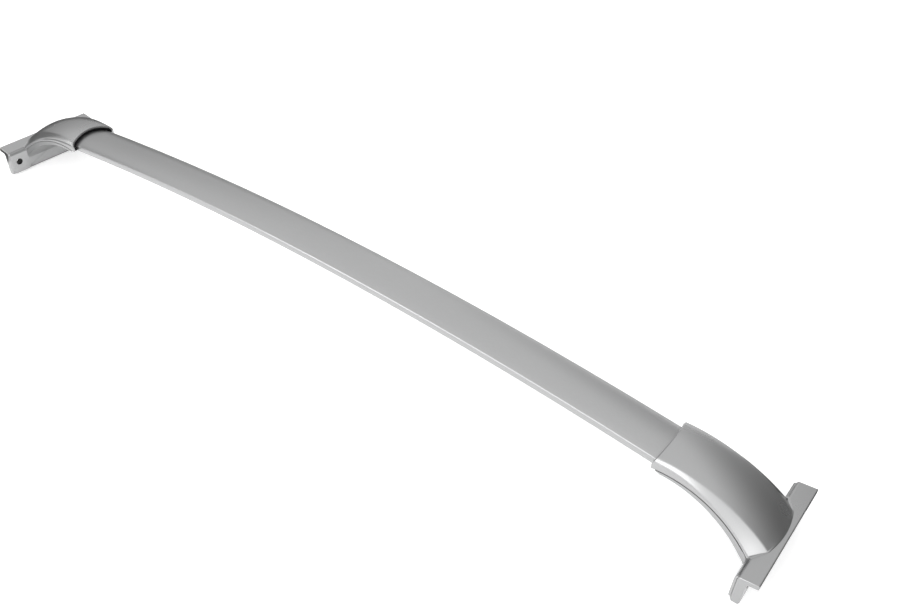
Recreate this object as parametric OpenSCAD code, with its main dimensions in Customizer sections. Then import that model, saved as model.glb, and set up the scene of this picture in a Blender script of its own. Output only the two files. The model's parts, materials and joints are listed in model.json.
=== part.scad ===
// Roof rack crossbar: a bowed hollow bar, carried at each end by a foot that bolts to a roof rail.
// X runs along the bar, Y points to the rear of the bar and Z is up.
// The origin lies under the middle of the bar, level with the lowest edge of the feet.

/* [Overall] */
// Distance between the outer edges of the two mounting plates
overall_length = 1115; // [905:5:1255]
// How far the middle of the bar stands above the bar's edges at the mouths of the feet
bar_rise = 23.2; // [16:0.2:28]

/* [Bar] */
// Width of the bar, front edge to rear edge
bar_width = 52; // [46:0.5:58]
// Height of the crowned top above the bar's edges
bar_crown = 7.7; // [6:0.1:8.5]
// Height of the flat band along each side
bar_band = 5.7; // [4:0.1:7]
// Depth of the flat underside below the bar's edges
bar_depth = 12; // [11:0.1:13]
// Width of the flat underside
bar_flat = 26; // [20:1:30]
// Wall of the hollow bar
bar_wall = 1.8; // [1.4:0.1:2.2]
// Thickness of the two upright ribs inside the bar
rib_wall = 1.6; // [1.2:0.1:2]
// Clear width of the middle chamber, between the ribs
chamber_width = 18; // [16:0.5:20]
// Length of bar held inside each foot
bar_insert = 54; // [52:0.5:56]

/* [Arm] */
// Distance from the mouth of the foot to the inner face of the mounting plate
arm_reach = 108; // [102:1:116]
// Distance from the mouth to the place where the arm begins to bend down
arm_lead = 16; // [14:0.5:18]
// Angle through which the arm bends before it meets the plate
arm_angle = 51.6; // [49:0.2:54]
// Height of the arm's lower edge above the foot of the plate, where they meet
lip_seat = 16.2; // [14:0.2:19]
// Height of the bar's edges above the arm's lower edge at the mouth
edge_drop = 8.5; // [8:0.1:9.5]
// Height of the arm's lip above the arm's lower edge, at the top of the bend
seam_rise = 2.9; // [2:0.1:3.6]
// How far the seam's arc is shifted to the plate, which widens the lip there
seam_shift = 5.5; // [3:0.5:6.5]
// Depth of the arm's belly below its lower edge
belly_depth = 13.5; // [12.5:0.1:15]
// How far the belly's arc is shifted to the plate, which thins the arm there
belly_shift = 16; // [14:0.5:17]
// Thickness of the arm's floor
floor_wall = 4; // [3:0.1:4.5]
// Half width of the hollow in the arm
hollow_half = 19; // [15:0.5:21]
// Thickness of the ribs across the hollow
cross_rib = 4; // [3:0.5:6]
// Distance from the mouth to the place where the side rails reach the arm's lower edge
rail_start = 9; // [7:0.5:10]
// Depth of the side rails that carry the arm on to the mouth
rail_depth = 4.5; // [3:0.5:5]
// Distance from the mouth to the front of the cradle's floor, where it meets the side rails
nose_start = 13; // [11:1:15]
// Length over which the cradle's floor slants down and back to the belly
nose_rake = 18; // [12:1:20]

/* [Cover] */
// Lean of the mouth from upright
mouth_slant = 22.5; // [15:0.5:26]
// Room between the bar's side and the cover, for the gasket
mouth_room = 3.8; // [3:0.1:4.4]
// Half width of the cover at the plate
plate_half = 44; // [40:0.5:47]
// Fall of the cover's crest below a plain spiral, halfway down the arm
crest_dip = 1.5; // [0:0.1:2.5]
// How far the cover's toe stands out over the plate's flange
toe = 15.4; // [12:0.1:16]
// Wall of the cover
cover_wall = 2.6; // [2:0.1:3]
// Width of the crease's step in from the cover's side, at the mouth
crease_step = 4.2; // [3:0.1:5]
// Width of the bright chamfer round the mouth
rim_chamfer = 0.7; // [0.3:0.1:1]

/* [Plate] */
// Length of the plate, front to rear
plate_length = 135.2; // [130:0.2:150]
// Height of the plate's inner edge above its foot
plate_height = 33.9; // [32:0.1:40]
// Thickness of the upright web
web_wall = 9; // [7:0.5:10]
// Width of the top flange, from the web's inner face outwards
flange_width = 19.5; // [16:0.5:22]
// Thickness of the top flange
flange_wall = 5.5; // [3.5:0.5:6]
// Rise of the flange outwards, in degrees
flange_pitch = 7.6; // [0:0.2:9]
// Distance from each end of the plate to its bolt hole
bolt_inset = 12; // [11:0.1:14]
// Diameter of the bolt holes
bolt_hole = 8.5; // [6.5:0.5:9]
// Height of the bolt holes above the foot of the plate
bolt_height = 17.6; // [15:0.2:19]
// Length of each raised tab round a bolt hole
tab_length = 28; // [26:0.5:29]
// Height of the raised tabs above the web
tab_raise = 2.5; // [0.5:0.1:3.5]

/* [Fasteners and rubber] */
// Diameter of the screws that hold the bar
bar_screw = 6; // [5:0.5:6]
// Distance between the two screws that hold the bar
bar_screw_pitch = 18; // [16:0.5:20]
// Thickness of the nut plate inside the bar
nut_plate_wall = 3; // [2:0.5:4]
// Diameter of the screws that hold the cover
cover_screw = 4; // [3.5:0.25:4.5]
// Thickness of the rubber liner in the cradle
pad_wall = 1; // [0.8:0.1:1.2]
// Thickness of the rubber strip in the plate's outer face
rail_pad_wall = 1.5; // [1:0.1:2]
// Depth of the rubber gasket along the bar
gasket_depth = 6; // [4:0.5:8]

/* [Hidden] */

// Clearances
seam_gap = 0.4;
rubber_gap = 0.1;
fit_gap = 0.2;
screw_gap = 0.3;

// Lengths of cutters: over is the least that a cutter passes a face, far clears the whole foot
over = 1;
far = 80;

// Smoothness
arc_fn = 256;
round_fn = 48;

// Finishes
silver = [0.72, 0.73, 0.74];
steel = [0.56, 0.57, 0.59];
rubber = [0.07, 0.07, 0.07];

// Places along X
web_x = overall_length / 2 - flange_width;
mouth_x = web_x - arm_reach;
bar_end_x = mouth_x + bar_insert;

// The arm's arc, in the XZ plane
arm_cx = mouth_x + arm_lead;
arm_r = (arm_reach - arm_lead) / sin(arm_angle);
arm_cz = lip_seat - arm_r * cos(arm_angle);
seam_cx = arm_cx + seam_shift;
seam_r = arm_r + seam_rise;
edge_z = arm_cz + arm_r + edge_drop;
belly_cx = arm_cx + belly_shift;
belly_r = norm([belly_shift, arm_r - belly_depth]);

// The bar's arc
bar_r = (mouth_x * mouth_x + bar_rise * bar_rise) / (2 * bar_rise);
bar_cz = edge_z + bar_rise - bar_r;
bar_sweep = asin(bar_end_x / bar_r);
crown_r = (pow(bar_width / 2, 2) + pow(bar_crown, 2)) / (2 * bar_crown);

// Helpers
function lerp(a, b, t) = a + (b - a) * t;
function unit(v) = v / norm(v);
function bend(a, b, c, n) = [for (i = [0:n]) let (t = i / n)
    (1 - t) * (1 - t) * a + 2 * t * (1 - t) * b + t * t * c];
function round_corner(a, b, c, d, n) = bend(b + unit(a - b) * d, b, b + unit(c - b) * d, n);
function flip(points) = [for (i = [len(points) - 1:-1:0]) [points[i][0], -points[i][1]]];

// Distance from the arm's centre to the belly's lowest line, at an angle
function belly_at(a) = belly_shift * sin(a) + sqrt(pow(belly_r, 2) - pow(belly_shift * cos(a), 2));

// Height of the flange's top face at x
function flange_z(x) = plate_height + (x - web_x) * tan(flange_pitch);

// Turns its child from the right foot to the left one
module at_side(side) {
    rotate([0, 0, side > 0 ? 0 : 180]) children();
}

// Sweeps a section about an axis along Y. The section's X is the radius and its Y is the width.
// Angles are measured from straight up, towards +X.
module sweep(cx, cz, from, to) {
    translate([cx, 0, cz])
        rotate([90, 0, 0])
            rotate_extrude(start = 90 - to, angle = to - from, $fn = arc_fn)
                children();
}

// Stands its child on the bar's arc at x, with +Z away from the arc's centre and Z = 0 at the bar's edges
module on_bar(x) {
    translate([0, 0, bar_cz])
        rotate([0, asin(x / bar_r), 0])
            translate([0, 0, bar_r])
                children();
}

// Stands its child on the arm's radius at an angle, with Z measured from the arc's centre
module on_arm(angle) {
    translate([arm_cx, 0, arm_cz])
        rotate([0, angle, 0])
            children();
}

// Round bar or hole along +Z
module rod(d, from, to) {
    translate([0, 0, from]) cylinder(d = d, h = to - from, $fn = round_fn);
}

// Hexagonal socket of a screw's head that stands below z = 0
module socket(across, head) {
    translate([0, 0, -head - over]) cylinder(d = across, h = head * 0.6 + over, $fn = 6);
}

// Bar

edge_round = 1.1;
edge_turn = 4;
crown_steps = 13;

// Half of the bar's outline from the bottom to the top, as [height, half width], grown by g
function bar_half(g) = let (
        w = bar_width / 2 + g,
        f = bar_flat / 2,
        r = crown_r + g,
        top = asin(w / r),
        crown = top - edge_turn,
        edge = [bar_crown - crown_r + r * cos(top), w],
        inner = [bar_crown - crown_r + r * cos(crown), r * sin(crown)])
    concat(
        [for (t = [90:-10:0]) [-bar_band - (bar_depth + g - bar_band) * sin(t), f + (w - f) * cos(t)]],
        round_corner([-bar_band, w], edge, inner, edge_round, 4),
        [for (i = [1:crown_steps]) let (a = crown * (1 - i / (crown_steps + 1)))
            [bar_crown - crown_r + r * cos(a), r * sin(a)]]);

module bar_outline(g) {
    half = bar_half(g);
    polygon(concat(half, [[bar_crown + g, 0]], flip(half)));
}

// Hollow section: three chambers between two ribs
module bar_section() {
    rib = chamber_width / 2;
    tall = bar_depth + bar_crown;
    difference() {
        bar_outline(0);
        intersection() {
            bar_outline(-bar_wall);
            union() {
                translate([-bar_depth, -rib]) square([tall, chamber_width]);
                translate([-bar_depth, rib + rib_wall]) square([tall, bar_width]);
                translate([-bar_depth, -rib - rib_wall - bar_width]) square([tall, bar_width]);
            }
        }
    }
}

module bar() {
    color(silver)
        difference() {
            sweep(0, bar_cz, -bar_sweep, bar_sweep)
                translate([bar_r, 0]) bar_section();
            for (side = [-1, 1])
                at_side(side) bar_screw_holes(bar_depth + over);
        }
}

// Bar screws, their washers and the nut plate

nut_floor = -bar_depth + bar_wall;
pad_gap = pad_wall + 2 * rubber_gap;
seat_wall = 4;
washer_top = -bar_depth - pad_gap - seat_wall;
washer_wall = 1.6;
washer_r = bar_screw;
bar_boss_r = washer_r + 1.5;
head_r = bar_screw * 0.85;
head_h = bar_screw * 0.55;
socket_share = 0.7;
nut_plate_margin = bar_screw * 1.2;
bar_screw_hole = bar_screw + 2 * screw_gap;
bar_screw_mid = bar_end_x - bar_screw_pitch / 2 - nut_plate_margin - 2;
bar_screw_tip = nut_floor + nut_plate_wall + 2;

// Stands its child on the axis of each bar screw
module at_bar_screws() {
    for (x = [-0.5, 0.5] * bar_screw_pitch)
        on_bar(bar_screw_mid + x) children();
}

// Holes for the bar screws, from the given depth up into the bar's middle chamber
module bar_screw_holes(depth) {
    at_bar_screws() rod(bar_screw_hole, -depth, -bar_depth / 2);
}

module bar_screws(side) {
    color(steel)
        at_side(side)
            at_bar_screws()
                translate([0, 0, washer_top - washer_wall])
                    difference() {
                        union() {
                            rod(2 * head_r, -head_h, 0);
                            rod(bar_screw, -head_h / 2, bar_screw_tip - washer_top + washer_wall);
                        }
                        socket(bar_screw * socket_share, head_h);
                    }
}

module bar_washers(side) {
    color(steel)
        at_side(side)
            at_bar_screws()
                difference() {
                    rod(2 * washer_r, washer_top - washer_wall, washer_top);
                    rod(bar_screw + screw_gap, washer_top - washer_wall - over, washer_top + over);
                }
}

module nut_plate(side) {
    size = [bar_screw_pitch + 2 * nut_plate_margin, chamber_width - 4 * fit_gap, nut_plate_wall];
    color(steel)
        at_side(side)
            on_bar(bar_screw_mid)
                difference() {
                    translate([-size[0] / 2, -size[1] / 2, nut_floor + rubber_gap]) cube(size);
                    for (x = [-0.5, 0.5] * bar_screw_pitch)
                        translate([x, 0, 0]) rod(bar_screw + screw_gap, -bar_depth, 0);
                }
}

// Cover: a shell lofted through slanted sections, from the mouth to the plate's flange

section_count = 18;
toe_count = 3;
top_points = 6;
last_section = section_count + toe_count;

// Angle, about an arc's centre at cx, where the arc of radius r meets the plane of the mouth
function mouth_angle(cx, r) = mouth_slant
    + asin(cos(mouth_slant) * (mouth_x - cx + tan(mouth_slant) * (arm_cz - edge_z)) / r);

top_tuck = 0.5;
mouth_half = bar_width / 2 + mouth_room + cover_wall;
crest_mouth = edge_drop + bar_crown + mouth_room - top_tuck + cover_wall;
bottom_r = seam_r + seam_gap;
bottom_from = mouth_angle(seam_cx, bottom_r);
bottom_to = asin((web_x - fit_gap - seam_cx) / bottom_r);
toe_arm = [web_x + toe - arm_cx, flange_z(web_x + toe) + fit_gap - arm_cz];
toe_r = norm(toe_arm);
toe_angle = atan2(toe_arm[0], toe_arm[1]);
crest_r = arm_r + crest_mouth;
crest_from = mouth_angle(arm_cx, crest_r);
heel_share = 0.975;

// Share of the crest's arc that lies before section k
function crest_share(k) = k <= section_count
    ? heel_share * k / section_count
    : lerp(heel_share, 1, (k - section_count) / toe_count);

// Radius of the crest about the arm's centre, at an angle
function crest_at(a) = let (t = (a - crest_from) / (toe_angle - crest_from))
    lerp(crest_r, toe_r, t) - 4 * crest_dip * t * (1 - t);

function crest_point(k) = let (
        a = lerp(crest_from, toe_angle, crest_share(k)),
        r = crest_at(a))
    [arm_cx + r * sin(a), arm_cz + r * cos(a)];

function seam_point(k) = k <= section_count
    ? let (a = lerp(bottom_from, bottom_to, k / section_count))
        [seam_cx + bottom_r * sin(a), arm_cz + bottom_r * cos(a)]
    : let (low = arm_cz + bottom_r * cos(bottom_to), high = flange_z(web_x - fit_gap) + fit_gap)
        [web_x - fit_gap, lerp(low, high, (k - section_count) / toe_count)];

function half_width(k) = lerp(mouth_half, plate_half, pow(crest_share(k), 2));

// Heights of the side wall and of the crease above the seam, at the mouth, the plate and the toe,
// and how far each sags below an even change halfway down the arm
wall_height = [10.4, 3, 1.8];
wall_sag = 2.5;
crease_height = [14.8, 13.2, 11.6];
crease_sag = 2.8;
// Shares of a set-in by which the shoulder drops, and the crease moves in and drops
shoulder_down = 0.47;
crease_in = 0.5;
crease_down = 0.87;
shoulder_round = 4;
crease_round = 1.2;
wall_lean = 0.8;
crease_half = mouth_half - crease_step;
crown_flat = 0.8;
crown_reach = 0.88;
function along(k, at, sag) = k <= section_count
    ? let (t = k / section_count) lerp(at[0], at[1], t) - 4 * sag * t * (1 - t)
    : lerp(at[1], at[2], (k - section_count) / toe_count);

// Half of section k from the seam to the crest, as [half width, height], set in by t.
// The shoulder and the crease move in by shares of t that keep the wall equally thick on all sides.
function cover_half(k, t) = let (
        h = norm(crest_point(k) - seam_point(k)) - t,
        w = half_width(k) - t,
        yc = crease_half - t * crease_in,
        foot = [w - wall_lean, 0],
        shoulder = [w, along(k, wall_height, wall_sag) - t * shoulder_down],
        crease = [yc, along(k, crease_height, crease_sag) - t * crease_down],
        crown = [yc * crown_flat, h - (h - crease[1]) * pow(crown_flat, 2)],
        band = norm(crease - shoulder))
    concat([foot],
        round_corner(foot, shoulder, crease, min(shoulder_round, band / 2, shoulder[1] / 2), 3),
        round_corner(shoulder, crease, crown, min(crease_round, band / 2), 2),
        [for (i = [1:top_points]) let (y = crown_reach * (1 - i / top_points))
            [yc * y, h - (h - crease[1]) * y * y]]);

// Both halves of a section as points in space, in the slanted plane of section k
function section_points(k, half) = let (
        b = seam_point(k),
        up = unit(crest_point(k) - b),
        n = len(half))
    [for (i = [0:2 * n - 2]) let (
            p = i < n ? [-half[i][0], half[i][1]] : half[2 * n - 2 - i])
        [b[0] + up[0] * p[1], p[0], b[1] + up[1] * p[1]]];

// Closed skin over rings of equal length
function skin_faces(rings, n) = [for (k = [0:rings - 2], i = [0:n - 1]) let (
        a = k * n + i, b = k * n + (i + 1) % n)
    each [[a, b, b + n], [a, b + n, a + n]]];

// Triangles that close a ring which runs out along one side and back along the other
function band_faces(first, n, way) = [for (i = [0:n / 2 - 2]) let (
        a = first + i, b = first + i + 1, c = first + n - 2 - i, d = first + n - 1 - i)
    each way > 0 ? [[a, d, c], [a, c, b]] : [[a, c, d], [a, b, c]]];

// Solid between two walls set in by outer and inner, over the sections in ks.
// At the first section the outer wall is set in by rim more.
module loft(ks, outer, inner, rim) {
    rings = [for (k = ks) let (set_in = k == ks[0] ? outer + rim : outer) concat(
        section_points(k, cover_half(k, set_in)),
        section_points(k, cover_half(k, inner)))];
    n = len(rings[0]);
    points = [for (ring = rings) each [for (i = [0:n - 1]) i < n / 2 ? ring[i] : ring[n + n / 2 - 1 - i]]];
    polyhedron(points,
        concat(skin_faces(len(ks), n), band_faces(0, n, 1), band_faces((len(ks) - 1) * n, n, -1)));
}

// Length of arm between two sections, near the mouth
section_pitch = arm_reach / section_count;

boss_r = cover_screw + 0.4;
boss_seat = arm_r + 2.6;
// Angle of the cover's first boss on the arm, unless a short arm needs more to stay past the bar's end
first_boss = 22;
boss_past_bar = 5.9;
boss_angles = [max(first_boss, asin((bar_end_x + boss_past_bar - arm_cx) / arm_r)), 40];
cover_screw_bore = cover_screw * 0.85;
cover_screw_bite = 10;

// Height above the bar's edges up to which the mouth's sides stand upright
corner_height = 1.5;

// Room in front of the mouth's lower corners, which stand upright
module corner_room(set_back) {
    translate([mouth_x + set_back - far, -plate_half, edge_z - far])
        cube([far, 2 * plate_half, far + corner_height]);
}

module cover(side) {
    ks = concat([0, rim_chamfer / section_pitch], [for (k = [1:last_section]) k]);
    color(silver)
        at_side(side)
            difference() {
                union() {
                    loft(ks, 0, cover_wall, rim_chamfer);
                    for (a = boss_angles)
                        on_arm(a) rod(2 * boss_r, boss_seat, crest_at(a) - cover_wall / 2);
                }
                for (a = boss_angles)
                    on_arm(a)
                        rod(cover_screw_bore + screw_gap,
                            boss_seat - over, boss_seat + cover_screw_bite + 2);
                corner_room(0);
            }
}

// Height of a cover screw's pan head, and distance from the arm's centre to its seat
pan_h = cover_screw * 0.6;
function screw_seat(a) = belly_at(a) + pan_h;

module cover_screws(side) {
    color(steel)
        at_side(side)
            for (a = boss_angles)
                on_arm(a)
                    translate([0, 0, screw_seat(a)])
                        difference() {
                            union() {
                                rod(2 * cover_screw, -pan_h, 0);
                                rod(cover_screw_bore, -pan_h / 2,
                                    boss_seat + cover_screw_bite - screw_seat(a));
                            }
                            socket(cover_screw * socket_share, pan_h);
                        }
}

// Gasket between the mouth of the cover and the bar
gasket_wall = mouth_room - wall_lean - fit_gap - rubber_gap;

module mouth_gasket(side) {
    first = rim_chamfer / section_pitch;
    outer = cover_wall + fit_gap;
    color(rubber)
        at_side(side)
            difference() {
                loft([first, first + gasket_depth / section_pitch], outer, outer + gasket_wall, 0);
                corner_room(rim_chamfer);
            }
}

// Bracket

small_round = 0.8;

// Outline of the angle plate in the XZ plane
module plate_section() {
    out = flange_width;
    rise = out * tan(flange_pitch);
    under = plate_height - flange_wall;
    root = web_wall * tan(flange_pitch);
    high = plate_height + rise;
    foot_r = web_wall * 0.45;
    top_r = 3;
    fillet = 3.5;
    polygon(concat(
        round_corner([0, plate_height], [0, 0], [web_wall, 0], foot_r, 5),
        round_corner([0, 0], [web_wall, 0], [web_wall, plate_height], foot_r, 5),
        round_corner([web_wall, 0], [web_wall, under + root], [out, under + rise], fillet, 5),
        round_corner([web_wall, under + root], [out, under + rise], [out, high], small_round, 2),
        round_corner([out, under + rise], [out, high], [0, plate_height], small_round, 2),
        round_corner([out, high], [0, plate_height], [0, 0], top_r, 5)));
}

module rounded_rect(size, r) {
    translate([-size[0] / 2, -size[1] / 2 + r]) square([size[0], size[1] - 2 * r]);
    translate([-size[0] / 2 + r, -size[1] / 2]) square([size[0] - 2 * r, size[1]]);
    for (x = [-1, 1], y = [-1, 1])
        translate([x * (size[0] / 2 - r), y * (size[1] / 2 - r)]) circle(r = r, $fn = round_fn);
}

// Raised tab round a bolt hole, on the web's inner face. Its top rounds over on to the flange.
module tab(way) {
    low = 2;
    depth = tab_raise + web_wall / 2;
    high = plate_height - 0.3;
    tab_top_r = 6;
    tab_corner = 4.5;
    end_gap = 0.5;
    intersection() {
        translate([web_x - tab_raise, way * (plate_length - tab_length) / 2, (high + low) / 2])
            rotate([0, 90, 0])
                linear_extrude(height = depth)
                    rounded_rect([high - low, tab_length - 2 * end_gap], tab_corner);
        translate([web_x - tab_raise, way * plate_length / 2 + tab_length, 0])
            rotate([90, 0, 0])
                linear_extrude(height = 2 * tab_length)
                    polygon(concat([[depth, 0], [depth, high]],
                        round_corner([depth, high], [0, high], [0, 0], tab_top_r, 6), [[0, 0]]));
    }
}

// Outline of the arm seen from above, which follows the cover's foot and stands a little proud of it
module arm_plan() {
    proud = 0.5;
    edge = [for (k = [0:section_count]) [seam_point(k)[0], half_width(k) - wall_lean + proud]];
    start = [edge[0][0] - bar_insert / 2, edge[0][1]];
    end = [web_x + web_wall / 2, edge[section_count][1]];
    half = concat([start], edge, [end]);
    polygon(concat(half, [for (i = [len(half) - 1:-1:0]) [half[i][0], -half[i][1]]]));
}

// Belly of the arm as [radius from its lowest line, width]
module belly_section() {
    side = [belly_depth, mouth_half - 0.7];
    knee = [4.5, mouth_half - 8.8];
    floor = [0, bar_flat / 2 + 1];
    half = concat(
        [[arm_r / 3, side[1]], side],
        round_corner(side, knee, floor, 3, 3),
        round_corner(knee, floor, [0, 0], 3, 3));
    polygon(concat(half, flip(half)));
}

// Outline of the arm's front in the XZ plane: two rails run on to the mouth, and the floor slants back
module arm_front() {
    lip_back = 1;
    lip_foot = edge_z - edge_drop;
    nose_x = mouth_x + nose_start;
    rake_x = nose_x + nose_rake;
    polygon([[mouth_x + lip_back, edge_z + far], [mouth_x + lip_back, lip_foot + seam_rise],
        [mouth_x + rail_start, lip_foot], [nose_x, lip_foot - rail_depth],
        [rake_x, lip_foot - rail_depth - nose_rake / 2], [rake_x, -far],
        [web_x + far, -far], [web_x + far, edge_z + far]]);
}

module arm_solid() {
    lip_top = 12;
    past_plate = arm_angle + 12;
    intersection() {
        union() {
            sweep(belly_cx, arm_cz, -25, past_plate) translate([belly_r, 0]) belly_section();
            sweep(arm_cx, arm_cz, -16, past_plate)
                translate([arm_r, -plate_half - over]) square([lip_top, 2 * (plate_half + over)]);
        }
        translate([0, 0, -over]) linear_extrude(height = edge_z + far) arm_plan();
        translate([seam_cx, 0, arm_cz]) rotate([90, 0, 0])
            cylinder(r = seam_r, h = 4 * plate_half, center = true, $fn = arc_fn);
        translate([0, plate_length, 0]) rotate([90, 0, 0])
            linear_extrude(height = 2 * plate_length) arm_front();
    }
}

// Space inside the arm between two angles, above its floor
module hollow(from, to) {
    sweep(belly_cx, arm_cz, from, to)
        translate([belly_r + floor_wall, -hollow_half])
            square([arm_r / 3, 2 * hollow_half]);
}

module bracket(side) {
    pocket_end = asin((bar_end_x + over) / bar_r);
    wall_angle = asin((bar_end_x + over + cross_rib - belly_cx) / belly_r);
    rib_half = asin(cross_rib / belly_r) / 2;
    mid_angle = (boss_angles[0] + boss_angles[1]) / 2 - 5;
    last_angle = asin((web_x - cross_rib - belly_cx) / belly_r);
    color(silver)
        at_side(side)
            difference() {
                union() {
                    difference() {
                        union() {
                            arm_solid();
                            at_bar_screws() rod(2 * bar_boss_r, washer_top, -bar_depth);
                        }
                        sweep(0, bar_cz, asin((mouth_x - nose_rake) / bar_r), pocket_end)
                            translate([bar_r, 0]) bar_outline(pad_gap);
                        hollow(wall_angle, mid_angle - rib_half);
                        hollow(mid_angle + rib_half, last_angle);
                    }
                    for (a = boss_angles)
                        on_arm(a) rod(2 * boss_r, belly_at(a) + floor_wall / 2, boss_seat);
                    translate([web_x, plate_length / 2, 0]) rotate([90, 0, 0])
                        linear_extrude(height = plate_length) plate_section();
                    for (way = [-1, 1]) tab(way);
                }
                // Bolt holes
                for (way = [-1, 1])
                    translate([web_x, way * bolt_spacing / 2, bolt_height]) rotate([0, 90, 0])
                        rod(bolt_hole, -tab_raise - over, web_wall + over);
                // Holes and seats for the bar screws
                bar_screw_holes(bar_depth * 2);
                at_bar_screws() rod(2 * (washer_r + screw_gap), -far, washer_top);
                // Holes and seats for the cover screws, and seats for the cover's bosses
                for (a = boss_angles)
                    on_arm(a) {
                        rod(2 * (cover_screw + screw_gap), screw_seat(a) - pan_h * 4, screw_seat(a));
                        rod(cover_screw_bore + 2 * screw_gap, screw_seat(a) - over, boss_seat + over);
                        rod(2 * (boss_r + fit_gap), boss_seat, crest_at(a));
                    }
                // Seat of the rail pad
                translate([web_x + web_wall - rail_pad_wall, -rail_pad_half, rail_pad_low])
                    cube([rail_pad_wall + over, 2 * rail_pad_half, rail_pad_high - rail_pad_low]);
            }
}

bolt_spacing = plate_length - 2 * bolt_inset;

// Rubber strip let into the plate's outer face
rail_pad_half = bolt_spacing / 2 - bolt_hole - 6;
rail_pad_low = 6;
rail_pad_high = plate_height - flange_wall - 4;

module rail_pad(side) {
    size = [rail_pad_wall, 2 * (rail_pad_half - rubber_gap), rail_pad_high - rail_pad_low - 2 * rubber_gap];
    color(rubber)
        at_side(side)
            translate([web_x + web_wall - rail_pad_wall, -size[1] / 2, rail_pad_low + rubber_gap])
                cube(size);
}

// Rubber liner between the bar's underside and the cradle
module cradle_pad(side) {
    set_back = 4;
    from = asin((mouth_x + nose_start + set_back) / bar_r);
    to = asin((bar_end_x - over) / bar_r);
    top = -bar_band - over;
    low = -bar_depth - pad_gap;
    color(rubber)
        at_side(side)
            difference() {
                sweep(0, bar_cz, from, to)
                    translate([bar_r, 0])
                        difference() {
                            intersection() {
                                bar_outline(pad_wall + rubber_gap);
                                translate([low, -bar_width]) square([top - low, 2 * bar_width]);
                            }
                            bar_outline(rubber_gap);
                        }
                bar_screw_holes(bar_depth * 2);
            }
}

module left_cover() { cover(-1); }
module right_cover() { cover(1); }
module left_bracket() { bracket(-1); }
module right_bracket() { bracket(1); }
module left_mouth_gasket() { mouth_gasket(-1); }
module right_mouth_gasket() { mouth_gasket(1); }
module left_cradle_pad() { cradle_pad(-1); }
module right_cradle_pad() { cradle_pad(1); }
module left_rail_pad() { rail_pad(-1); }
module right_rail_pad() { rail_pad(1); }
module left_nut_plate() { nut_plate(-1); }
module right_nut_plate() { nut_plate(1); }
module left_bar_screws() { bar_screws(-1); }
module right_bar_screws() { bar_screws(1); }
module left_bar_washers() { bar_washers(-1); }
module right_bar_washers() { bar_washers(1); }
module left_cover_screws() { cover_screws(-1); }
module right_cover_screws() { cover_screws(1); }

bar();
left_cover();
right_cover();
left_bracket();
right_bracket();
left_mouth_gasket();
right_mouth_gasket();
left_cradle_pad();
right_cradle_pad();
left_rail_pad();
right_rail_pad();
left_nut_plate();
right_nut_plate();
left_bar_screws();
right_bar_screws();
left_bar_washers();
right_bar_washers();
left_cover_screws();
right_cover_screws();
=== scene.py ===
"""Looks of a bolt-on roof rack crossbar: satin silver bar and feet on a pale studio floor."""

import json
import math

import bpy
from bpy.props import FloatProperty, FloatVectorProperty, PointerProperty
from mathutils import Matrix, Vector


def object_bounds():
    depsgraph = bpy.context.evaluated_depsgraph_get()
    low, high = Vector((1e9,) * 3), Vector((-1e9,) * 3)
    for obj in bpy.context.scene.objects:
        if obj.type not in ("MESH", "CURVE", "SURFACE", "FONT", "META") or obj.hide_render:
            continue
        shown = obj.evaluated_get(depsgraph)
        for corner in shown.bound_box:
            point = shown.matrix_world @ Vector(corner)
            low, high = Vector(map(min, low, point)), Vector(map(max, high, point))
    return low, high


bl_info = {
    "name": "Roof Rack Crossbar",
    "version": (1, 0, 0),
    "blender": (4, 5, 0),
    "location": "3D View > Sidebar > Crossbar",
    "description": "Finishes a crossbar's bar, feet, rubber and hardware, and sets up a plain studio",
    "category": "Object",
}

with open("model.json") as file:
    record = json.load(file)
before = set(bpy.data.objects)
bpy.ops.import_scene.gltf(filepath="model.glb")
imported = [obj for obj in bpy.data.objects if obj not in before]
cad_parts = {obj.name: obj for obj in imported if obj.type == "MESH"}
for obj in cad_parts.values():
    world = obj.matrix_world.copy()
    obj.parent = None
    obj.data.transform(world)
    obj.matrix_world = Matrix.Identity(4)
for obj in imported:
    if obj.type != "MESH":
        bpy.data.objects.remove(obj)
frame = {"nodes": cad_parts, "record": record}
CAD_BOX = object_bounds()
MM = 0.001
WHITE = (1, 1, 1, 1)
SIDES = ("left", "right")

# The bolt holes, which both plates have alike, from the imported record
BOLTS = next(mount for mount in frame["record"]["mounts"] if mount["name"] == "left_bolts")
BOLT_SPACING = BOLTS["dims"]["spacing_x_mm"] * MM
BOLT_HEIGHT = BOLTS["pos_m"][2]
BOLT_RADIUS = BOLTS["dims"]["hole_r_mm"] * MM

# How far past its wall the painted shade in a bolt hole reaches
BORE_SHADE_MARGIN = 0.15 * MM

# Edges above this angle in degrees stay sharp in the shading, on the covers and elsewhere
COVER_CREASE = 20
CREASE = 26

# Edges above this angle in degrees are rounded over, in this many facets
ROUNDED_CREASE = 38
ROUNDING_FACETS = 3

# Corners of a solid's faces that lie closer than this are joined
WELD_GAP = 0.002 * MM

# Stretch of the flake's coordinates on the bar, which draws the flake out along it
BAR_GRAIN = (0.05, 1, 1)

# The part of a noise texture's range that most of its values fall in
NOISE_LOW = 0.3
NOISE_HIGH = 0.7

# Soft patches of the studio's sky: azimuth from +X towards +Y, elevation, radius of the even core,
# radius where the patch ends (all in degrees) and level. First come the dark ones behind and at the
# left, then the bright ones in front, from left to right
SKY = (
    (42, 0, 0, 77, 0.13),
    (165, 0, 5, 45, 0.42),
    (200, 16, 9, 20, 0.15),
    (184, 2, 5, 14, 0.12),
    (233, 26, 7, 16, 5.0),
    (260, 28, 6, 16, 3.4),
    (287, 35, 8, 20, 1.5),
    (308, 27, 8, 20, 1.7),
    (327, 14, 8, 22, 2.8),
    (342, 2, 8, 22, 3.2),
)

# The floor: half its side in metres, and its tone
FLOOR_REACH = 30
FLOOR_TONE = 0.85

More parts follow.
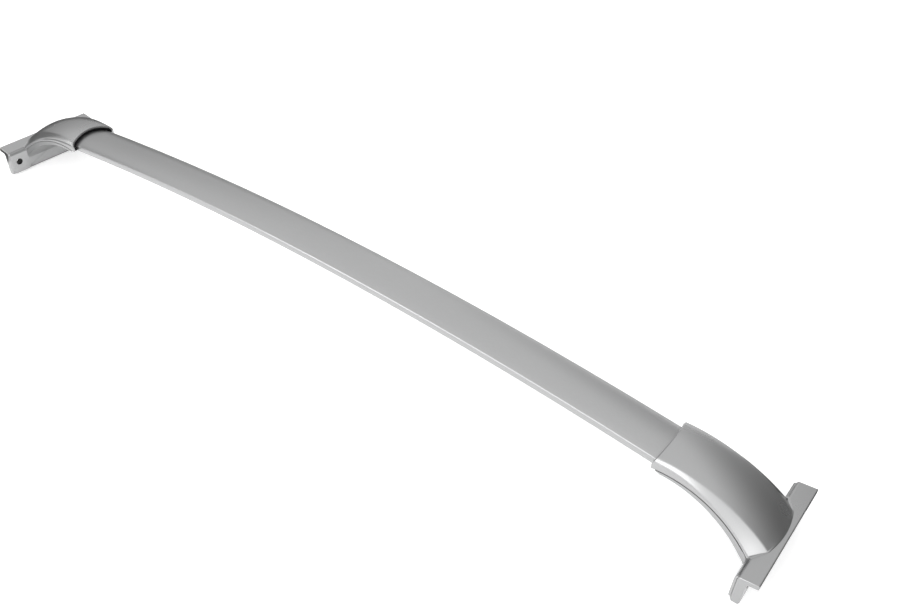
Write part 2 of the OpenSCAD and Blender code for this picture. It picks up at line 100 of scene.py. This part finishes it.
# Cards on the floor, which only reflections show: lowest and highest X and Y in metres, and tone.
# They lie right of the bar, left of it, behind it and close behind the right foot
FLAGS = (
    ((0.57, -0.05), (12, 25), 0.16),
    ((-12, -0.3), (-0.575, 12), 0.06),
    ((-0.55, 0.2), (0.57, 0.7), 0.6),
    ((0.48, 0.07), (0.57, 0.2), 0.08),
)
FLAG_LIFT = 1 * MM

# The camera: width of its sensor in millimetres, and the nearest distance that it shows
SENSOR_WIDTH = 36
CLIP_START = 10 * MM


class CROSSBAR_PG_finish(bpy.types.PropertyGroup):
    """Colours and gloss of the crossbar's finishes, and the colour of the shade painted in its bolt
    holes.
    """

    paint_colour: FloatVectorProperty(
        name="Foot Paint", description="Silver paint of the feet", subtype="COLOR",
        size=3, min=0, max=1, default=(0.43, 0.432, 0.434))
    paint_gloss: FloatProperty(
        name="Paint Roughness", description="Roughness of the silver paint",
        subtype="FACTOR", min=0, max=1, default=0.28)
    bar_colour: FloatVectorProperty(
        name="Bar Colour", description="Silver finish of the extruded bar", subtype="COLOR",
        size=3, min=0, max=1, default=(0.432, 0.434, 0.436))
    bar_gloss: FloatProperty(
        name="Bar Roughness", description="Roughness of the bar's finish",
        subtype="FACTOR", min=0, max=1, default=0.32)
    cast_colour: FloatVectorProperty(
        name="Cast Paint", description="Silver paint of the cast brackets", subtype="COLOR",
        size=3, min=0, max=1, default=(0.39, 0.392, 0.394))
    # Near-black painted shade inside the bolt holes, standing in for the shadow on their walls
    bore_shade_colour: FloatVectorProperty(
        name="Bore Shade", description="Painted shade inside the bolt holes", subtype="COLOR",
        size=3, min=0, max=1, default=(0.015, 0.015, 0.015))
    rubber_colour: FloatVectorProperty(
        name="Rubber", description="Black rubber of the gaskets and pads", subtype="COLOR",
        size=3, min=0, max=1, default=(0.006, 0.006, 0.0065))
    steel_colour: FloatVectorProperty(
        name="Steel", description="Zinc-plated steel of screws, washers and nut plates",
        subtype="COLOR", size=3, min=0, max=1, default=(0.55, 0.56, 0.58))


class CROSSBAR_PG_sizes(bpy.types.PropertyGroup):
    """Small sizes of the crossbar's edges."""

    cast_edge: FloatProperty(
        name="Cast Edge", description="Rounding of the cast plates' edges",
        unit="LENGTH", min=0, default=0.7 * MM)
    plate_reach: FloatProperty(
        name="Plate Reach", description="How far from the bar's middle the rounding of cast edges starts",
        unit="LENGTH", min=0, default=530 * MM)
    steel_edge: FloatProperty(
        name="Steel Edge", description="Rounding of the hardware's edges",
        unit="LENGTH", min=0, default=0.25 * MM)


class CROSSBAR_PG_stage(bpy.types.PropertyGroup):
    """The places of the camera and the soft box, and the levels of the lights."""

    camera_place: FloatVectorProperty(
        name="Camera Place", description="Where the camera stands",
        subtype="TRANSLATION", unit="LENGTH", size=3, default=(0.61404, -0.59775, 0.70209))
    camera_azimuth: FloatProperty(
        name="Azimuth", description="Turn of the view from straight along +Y, towards -X",
        subtype="ANGLE", default=math.radians(35.572))
    camera_elevation: FloatProperty(
        name="Elevation", description="Downward tilt of the view",
        subtype="ANGLE", default=math.radians(39.193))
    camera_roll: FloatProperty(
        name="Roll", description="Roll of the camera about its own axis",
        subtype="ANGLE", default=math.radians(2.827))
    lens: FloatProperty(
        name="Lens", description="Focal length in millimetres", min=10, default=36.47)
    key_place: FloatVectorProperty(
        name="Key Place", description="Where the soft box by the camera hangs",
        subtype="TRANSLATION", unit="LENGTH", size=3, default=(0.26, -1.1, 1.0))
    key_target: FloatVectorProperty(
        name="Key Target", description="The point that the soft box faces",
        subtype="TRANSLATION", unit="LENGTH", size=3, default=(0.45, 0, 0.09))
    key_size: FloatProperty(
        name="Key Size", description="Side of the soft box", unit="LENGTH", min=0, default=0.45)
    key_power: FloatProperty(
        name="Key", description="Power of the soft box, in watts", min=0, default=1.0)
    sky_level: FloatProperty(
        name="Sky", description="Level of the even light from all round", min=0, default=1.0)
    floor_lift: FloatProperty(
        name="Floor Lift", description="Light added to the floor in the picture and in reflections",
        min=0, default=0.5)


def settings(kind):
    """The scene's settings of one kind: finish, sizes or stage."""
    return getattr(bpy.context.scene, "crossbar_" + kind)


# Nodes

def feed(tree, node, inputs):
    """Sets a node's inputs, by name or number. A socket is linked, and anything else is a plain value."""
    for key, term in inputs.items():
        if isinstance(term, bpy.types.NodeSocket):
            tree.links.new(term, node.inputs[key])
        else:
            node.inputs[key].default_value = term


def add_node(tree, kind, inputs, **fields):
    """A new node with its own fields and its inputs set."""
    node = tree.nodes.new(kind)
    for field, choice in fields.items():
        setattr(node, field, choice)
    feed(tree, node, inputs)
    return node


def calculate(tree, operation, *terms, kind="ShaderNodeMath"):
    """The result of an operation on terms, which are sockets or plain values."""
    node = add_node(tree, kind, dict(enumerate(terms)), operation=operation)
    return next(socket for socket in node.outputs if socket.enabled)


def object_coords(tree, scale=(1, 1, 1)):
    """Coordinates fixed to the object, stretched by scale along each axis."""
    coords = tree.nodes.new("ShaderNodeTexCoord").outputs["Object"]
    return add_node(tree, "ShaderNodeMapping", {"Vector": coords, "Scale": scale}).outputs["Vector"]


def noise(tree, vector, scale, detail):
    """The height of a noise texture."""
    inputs = {"Vector": vector, "Scale": scale, "Detail": detail}
    return add_node(tree, "ShaderNodeTexNoise", inputs).outputs["Fac"]


def spread(tree, value, low, high):
    """Maps a noise's middle range to the range from low to high."""
    inputs = {
        "Value": value, "From Min": NOISE_LOW, "From Max": NOISE_HIGH, "To Min": low, "To Max": high}
    return add_node(tree, "ShaderNodeMapRange", inputs).outputs["Result"]


def mix_colours(tree, share, first, second):
    """A colour that goes from the first to the second as the share grows from 0 to 1."""
    inputs = {"Factor": share, "A": first, "B": second}
    return add_node(tree, "ShaderNodeMix", inputs, data_type="RGBA").outputs["Result"]


def tint(tree, value, colour, low, high):
    """A colour made lighter and darker by a noise."""
    darker = (*[part * low for part in colour], 1)
    lighter = (*[min(1, part * high) for part in colour], 1)
    return mix_colours(tree, value, darker, lighter)


def bump(tree, height, strength, depth):
    """A bump of the given depth, in metres."""
    inputs = {"Height": height, "Strength": strength, "Distance": depth}
    return add_node(tree, "ShaderNodeBump", inputs).outputs["Normal"]


# Materials

def new_material(name):
    """A new material, with its node tree and Principled shader."""
    material = bpy.data.materials.new(name)
    material.use_nodes = True
    return material, material.node_tree, material.node_tree.nodes["Principled BSDF"]


def silver_paint(name, colour, gloss, grain=(1, 1, 1)):
    """Satin silver paint: fine metal flake under a soft clear coat. grain stretches the flake."""
    material, tree, shader = new_material(name)
    flake = noise(tree, object_coords(tree, grain), scale=2600, detail=2)
    cloud = noise(tree, object_coords(tree), scale=22, detail=2)
    feed(tree, shader, {
        "Base Color": tint(tree, flake, colour, low=0.94, high=1.06),
        "Metallic": 0.92,
        "Roughness": spread(tree, cloud, low=gloss - 0.02, high=gloss + 0.03),
        "Normal": bump(tree, flake, strength=0.06, depth=0.05 * MM),
        "Coat Weight": 0.18,
        "Coat Roughness": 0.22,
    })
    return material


def paint_bore_shade(material, colour):
    """Paints shade inside the plates' bolt holes: a near-black colour on their walls, in place of the
    shadow that falls there.
    """
    tree = material.node_tree
    base = tree.nodes["Principled BSDF"].inputs["Base Color"]
    axes = add_node(tree, "ShaderNodeSeparateXYZ", {"Vector": object_coords(tree)}).outputs
    across = calculate(tree, "SUBTRACT", calculate(tree, "ABSOLUTE", axes["Y"]), BOLT_SPACING / 2)
    up = calculate(tree, "SUBTRACT", axes["Z"], BOLT_HEIGHT)
    offset = add_node(tree, "ShaderNodeCombineXYZ", {"X": across, "Y": up}).outputs["Vector"]
    radius = calculate(tree, "LENGTH", offset, kind="ShaderNodeVectorMath")
    # Mask of the bolt holes, where the painted shade goes
    inside = calculate(tree, "LESS_THAN", radius, BOLT_RADIUS + BORE_SHADE_MARGIN)
    paint = base.links[0].from_socket
    tree.links.new(mix_colours(tree, inside, paint, (*colour, 1)), base)


def black_rubber(colour):
    """Matt black rubber with a fine pebbled skin."""
    material, tree, shader = new_material("rubber_black")
    pebble = noise(tree, object_coords(tree), scale=900, detail=4)
    feed(tree, shader, {
        "Base Color": tint(tree, pebble, colour, low=0.7, high=1.5),
        "Roughness": spread(tree, pebble, low=0.6, high=0.8),
        "Specular IOR Level": 0.08,
        "Normal": bump(tree, pebble, strength=0.3, depth=0.1 * MM),
    })
    return material


def zinc_steel(colour):
    """Bright zinc plating with a faint clouding."""
    material, tree, shader = new_material("steel_zinc")
    cloud = noise(tree, object_coords(tree), scale=160, detail=3)
    feed(tree, shader, {
        "Base Color": tint(tree, cloud, colour, low=0.85, high=1.1),
        "Metallic": 1.0,
        "Roughness": spread(tree, cloud, low=0.25, high=0.4),
        "Normal": bump(tree, cloud, strength=0.1, depth=0.05 * MM),
    })
    return material


def matt_grey(name, tone):
    """Matt grey without any shine, for the floor and its cards."""
    material, tree, shader = new_material(name)
    feed(tree, shader, {
        "Base Color": (tone, tone, tone, 1),
        "Roughness": 1.0,
        "Specular IOR Level": 0.0,
    })
    return material


# Surfaces

def geometry_group(name, numbers, build):
    """A geometry nodes group that takes a mesh and the named numbers. It is made once.

    build adds the nodes between the group's inputs and the mesh socket that it returns.
    """
    if name in bpy.data.node_groups:
        return bpy.data.node_groups[name]
    tree = bpy.data.node_groups.new(name, "GeometryNodeTree")
    tree.interface.new_socket("Geometry", in_out="INPUT", socket_type="NodeSocketGeometry")
    for number in numbers:
        tree.interface.new_socket(number, in_out="INPUT", socket_type="NodeSocketFloat")
    tree.interface.new_socket("Geometry", in_out="OUTPUT", socket_type="NodeSocketGeometry")
    mesh = build(tree, tree.nodes.new("NodeGroupInput").outputs)
    add_node(tree, "NodeGroupOutput", {"Geometry": mesh})
    return tree


def compare_edge(tree, operation, angle):
    """Compares the angle between the two faces of an edge with another angle."""
    edge = tree.nodes.new("GeometryNodeInputMeshEdgeAngle").outputs["Unsigned Angle"]
    return calculate(tree, operation, edge, angle, kind="FunctionNodeCompare")


def shade_smooth(tree, source):
    """Shades a mesh smooth, except at the edges above Angle."""
    flat = compare_edge(tree, "LESS_EQUAL", source["Angle"])
    inputs = {"Geometry": source["Geometry"]}
    faces = add_node(tree, "GeometryNodeSetShadeSmooth", inputs, domain="FACE").outputs["Geometry"]
    inputs = {"Geometry": faces, "Shade Smooth": flat}
    return add_node(tree, "GeometryNodeSetShadeSmooth", inputs, domain="EDGE").outputs["Geometry"]


def weight_edges(tree, source):
    """Picks for rounding the edges above Angle that lie further than Reach from the bar's middle."""
    sharp = compare_edge(tree, "GREATER_THAN", source["Angle"])
    place = tree.nodes.new("GeometryNodeInputPosition").outputs["Position"]
    along = add_node(tree, "ShaderNodeSeparateXYZ", {"Vector": place}).outputs["X"]
    distance = calculate(tree, "ABSOLUTE", along)
    beyond = calculate(tree, "GREATER_EQUAL", distance, source["Reach"], kind="FunctionNodeCompare")
    picked = calculate(tree, "AND", sharp, beyond, kind="FunctionNodeBooleanMath")
    inputs = {"Geometry": source["Geometry"], "Name": "bevel_weight_edge", "Value": picked}
    store = add_node(
        tree, "GeometryNodeStoreNamedAttribute", inputs, domain="EDGE", data_type="FLOAT")
    return store.outputs["Geometry"]


def run_group(piece, name, group, **numbers):
    """Runs a geometry nodes group on a piece, with the group's numbers set by name."""
    modifier = piece.modifiers.new(name, "NODES")
    modifier.node_group = group
    for item in group.interface.items_tree:
        if item.name in numbers:
            modifier[item.identifier] = numbers[item.name]


def round_over(piece, width, reach):
    """Rounds a piece's sharp edges that lie further than a reach from the bar's middle.

    With no reach all of them are rounded, as far as the smallest faces leave room.
    """
    group = geometry_group("weight_sharp_edges", ("Angle", "Reach"), weight_edges)
    run_group(piece, "pick_edges", group, Angle=math.radians(ROUNDED_CREASE), Reach=reach)
    bevel = piece.modifiers.new("round_edges", "BEVEL")
    bevel.width = width
    bevel.segments = ROUNDING_FACETS
    bevel.limit_method = "WEIGHT"
    bevel.use_clamp_overlap = reach == 0


def dress(node, material, edge=0.0, reach=0.0, crease=CREASE):
    """Gives a CAD node its material, edges rounded to the given width and smooth shading."""
    piece = frame["nodes"][node]
    piece.data.materials.clear()
    piece.data.materials.append(material)
    weld = piece.modifiers.new("weld", "WELD")
    weld.merge_threshold = WELD_GAP
    if edge > 0:
        round_over(piece, edge, reach)
    group = geometry_group("smooth_between_sharp_edges", ("Angle",), shade_smooth)
    run_group(piece, "smooth", group, Angle=math.radians(crease))


# Operators of the crossbar

class CROSSBAR_OT_bar(bpy.types.Operator):
    """Finish the extruded bar"""

    bl_idname = "crossbar.bar"
    bl_label = "Bar"

    def execute(self, context):
        finish = settings("finish")
        dress("bar", silver_paint("bar_silver", finish.bar_colour, finish.bar_gloss, BAR_GRAIN))
        return {"FINISHED"}


class CROSSBAR_OT_feet(bpy.types.Operator):
    """Finish the covers and brackets of both feet"""

    bl_idname = "crossbar.feet"
    bl_label = "Feet"

    def execute(self, context):
        finish, sizes = settings("finish"), settings("sizes")
        paint = silver_paint("foot_silver", finish.paint_colour, finish.paint_gloss)
        cast = silver_paint("cast_silver_with_bore_shade", finish.cast_colour, finish.paint_gloss)
        # Paints shade inside the brackets' bolt holes
        paint_bore_shade(cast, finish.bore_shade_colour)
        for side in SIDES:
            dress(f"{side}_cover", paint, crease=COVER_CREASE)
            dress(f"{side}_bracket", cast, edge=sizes.cast_edge, reach=sizes.plate_reach)
        return {"FINISHED"}


class CROSSBAR_OT_rubber(bpy.types.Operator):
    """Finish the gaskets and pads"""

    bl_idname = "crossbar.rubber"
    bl_label = "Rubber"

    def execute(self, context):
        rubber = black_rubber(settings("finish").rubber_colour)
        for side in SIDES:
            for part in ("mouth_gasket", "cradle_pad", "rail_pad"):
                dress(f"{side}_{part}", rubber)
        return {"FINISHED"}


class CROSSBAR_OT_hardware(bpy.types.Operator):
    """Finish the screws, washers and nut plates"""

    bl_idname = "crossbar.hardware"
    bl_label = "Hardware"

    def execute(self, context):
        steel = zinc_steel(settings("finish").steel_colour)
        edge = settings("sizes").steel_edge
        for side in SIDES:
            for part in ("nut_plate", "bar_screws", "bar_washers", "cover_screws"):
                dress(f"{side}_{part}", steel, edge=edge)
        return {"FINISHED"}


# Stage

def flat_quad(name, low, high, height, material):
    """A level rectangle from its lowest to its highest X and Y."""
    corners = [
        (low[0], low[1], height), (high[0], low[1], height),
        (high[0], high[1], height), (low[0], high[1], height)]
    mesh = bpy.data.meshes.new(name)
    mesh.from_pydata(corners, [], [range(len(corners))])
    mesh.materials.append(material)
    quad = bpy.data.objects.new(name, mesh)
    bpy.context.scene.collection.objects.link(quad)
    return quad


def ray_is(tree, *kinds):
    """1 for rays of the given kinds, such as Camera or Glossy, and 0 for the others."""
    path = tree.nodes.new("ShaderNodeLightPath")
    found = path.outputs[f"Is {kinds[0]} Ray"]
    for kind in kinds[1:]:
        found = calculate(tree, "MAXIMUM", found, path.outputs[f"Is {kind} Ray"])
    return found


def direction(azimuth, elevation):
    """A unit vector. Azimuth runs from +X towards +Y."""
    flat = math.cos(elevation)
    return (flat * math.cos(azimuth), flat * math.sin(azimuth), math.sin(elevation))


def sky_patch(tree, view, below, azimuth, elevation, core, edge, level):
    """Blends a soft round patch of light or shade into the level below it."""
    middle = direction(math.radians(azimuth), math.radians(elevation))
    nearness = calculate(tree, "DOT_PRODUCT", view, middle, kind="ShaderNodeVectorMath")
    inputs = {
        "Value": nearness,
        "From Min": math.cos(math.radians(edge)),
        "From Max": math.cos(math.radians(core)),
    }
    share = add_node(tree, "ShaderNodeMapRange", inputs).outputs["Result"]
    inputs = {"Factor": share, "A": below, "B": level}
    return add_node(tree, "ShaderNodeMix", inputs).outputs["Result"]


class CROSSBAR_OT_stage(bpy.types.Operator):
    """Set up the floor with its cards, the soft box, the sky and the camera"""

    bl_idname = "crossbar.stage"
    bl_label = "Stage"

    def execute(self, context):
        stage = settings("stage")
        ground = CAD_BOX[0][2]
        self.floor(stage, ground)
        for number, (low, high, tone) in enumerate(FLAGS):
            self.flag(number, low, high, tone, ground + FLAG_LIFT)
        self.key_box(stage)
        self.sky(stage)
        self.camera(stage)
        context.scene.view_settings.view_transform = "Standard"
        return {"FINISHED"}

    def floor(self, stage, height):
        """A pale matt floor, lifted towards white in the picture and in reflections."""
        material = matt_grey("floor_white", FLOOR_TONE)
        tree = material.node_tree
        seen = ray_is(tree, "Camera", "Glossy", "Transmission")
        lift = calculate(tree, "MULTIPLY", seen, stage.floor_lift)
        inputs = {"Emission Color": WHITE, "Emission Strength": lift}
        feed(tree, tree.nodes["Principled BSDF"], inputs)
        low, high = (-FLOOR_REACH, -FLOOR_REACH), (FLOOR_REACH, FLOOR_REACH)
        floor = flat_quad("studio_floor", low, high, height, material)

    def flag(self, number, low, high, tone, height):
        """A card on the floor that only reflections show."""
        material = matt_grey(f"flag_grey_{number}", tone)
        card = flat_quad(f"floor_flag_{number}", low, high, height, material)
        card.visible_camera = False
        card.visible_diffuse = False
        card.visible_transmission = False
        card.visible_shadow = False

    def key_box(self, stage):
        """A square soft box that faces its target."""
        light = bpy.data.lights.new("key_box", "AREA")
        light.shape = "SQUARE"
        light.size = stage.key_size
        light.energy = stage.key_power
        lamp = bpy.data.objects.new("key_box", light)
        lamp.location = stage.key_place
        gaze = Vector(stage.key_target) - Vector(stage.key_place)
        lamp.rotation_euler = gaze.to_track_quat("-Z", "Y").to_euler()
        bpy.context.scene.collection.objects.link(lamp)

    def sky(self, stage):
        """A sky of soft patches, which the camera itself sees as white."""
        world = bpy.data.worlds.new("studio")
        world.use_nodes = True
        tree = world.node_tree
        view = tree.nodes.new("ShaderNodeTexCoord").outputs["Generated"]
        level = stage.sky_level
        for patch in SKY:
            level = sky_patch(tree, view, level, *patch)
        strength = calculate(tree, "MAXIMUM", level, ray_is(tree, "Camera"))
        feed(tree, tree.nodes["Background"], {"Color": WHITE, "Strength": strength})
        bpy.context.scene.world = world

    def camera(self, stage):
        """The camera at the photo's viewing angle."""
        data = bpy.data.cameras.new("camera")
        data.sensor_width = SENSOR_WIDTH
        data.lens = stage.lens
        data.clip_start = CLIP_START
        camera = bpy.data.objects.new("camera", data)
        turn = (Matrix.Rotation(stage.camera_azimuth, 4, "Z")
                @ Matrix.Rotation(math.pi / 2 - stage.camera_elevation, 4, "X")
                @ Matrix.Rotation(stage.camera_roll, 4, "Z"))
        camera.matrix_world = Matrix.Translation(stage.camera_place) @ turn
        bpy.context.scene.collection.objects.link(camera)
        bpy.context.scene.camera = camera


class CROSSBAR_PT_panel(bpy.types.Panel):
    """Lists the crossbar's settings and steps"""

    bl_idname = "CROSSBAR_PT_panel"
    bl_label = "Crossbar"
    bl_space_type = "VIEW_3D"
    bl_region_type = "UI"
    bl_category = "Crossbar"

    def draw(self, context):
        layout = self.layout
        for kind in GROUPS:
            box = layout.box()
            group = settings(kind)
            for name in group.__annotations__:
                box.prop(group, name)
        for operator in OPERATORS:
            layout.operator(operator.bl_idname)


GROUPS = {
    "finish": CROSSBAR_PG_finish,
    "sizes": CROSSBAR_PG_sizes,
    "stage": CROSSBAR_PG_stage,
}
OPERATORS = (
    CROSSBAR_OT_stage,
    CROSSBAR_OT_bar,
    CROSSBAR_OT_feet,
    CROSSBAR_OT_rubber,
    CROSSBAR_OT_hardware,
)


def register():
    """Adds the classes, and the settings to every scene."""
    for group in GROUPS.values():
        bpy.utils.register_class(group)
    for operator in OPERATORS:
        bpy.utils.register_class(operator)
    bpy.utils.register_class(CROSSBAR_PT_panel)
    for kind, group in GROUPS.items():
        setattr(bpy.types.Scene, "crossbar_" + kind, PointerProperty(type=group))


def unregister():
    """Takes away what register added."""
    for kind in GROUPS:
        delattr(bpy.types.Scene, "crossbar_" + kind)
    bpy.utils.unregister_class(CROSSBAR_PT_panel)
    for operator in reversed(OPERATORS):
        bpy.utils.unregister_class(operator)
    for group in reversed(list(GROUPS.values())):
        bpy.utils.unregister_class(group)


def main():
    register()
    bpy.ops.crossbar.stage()
    bpy.ops.crossbar.bar()
    bpy.ops.crossbar.feet()
    bpy.ops.crossbar.rubber()
    bpy.ops.crossbar.hardware()


if __name__ == "__main__":
    main()
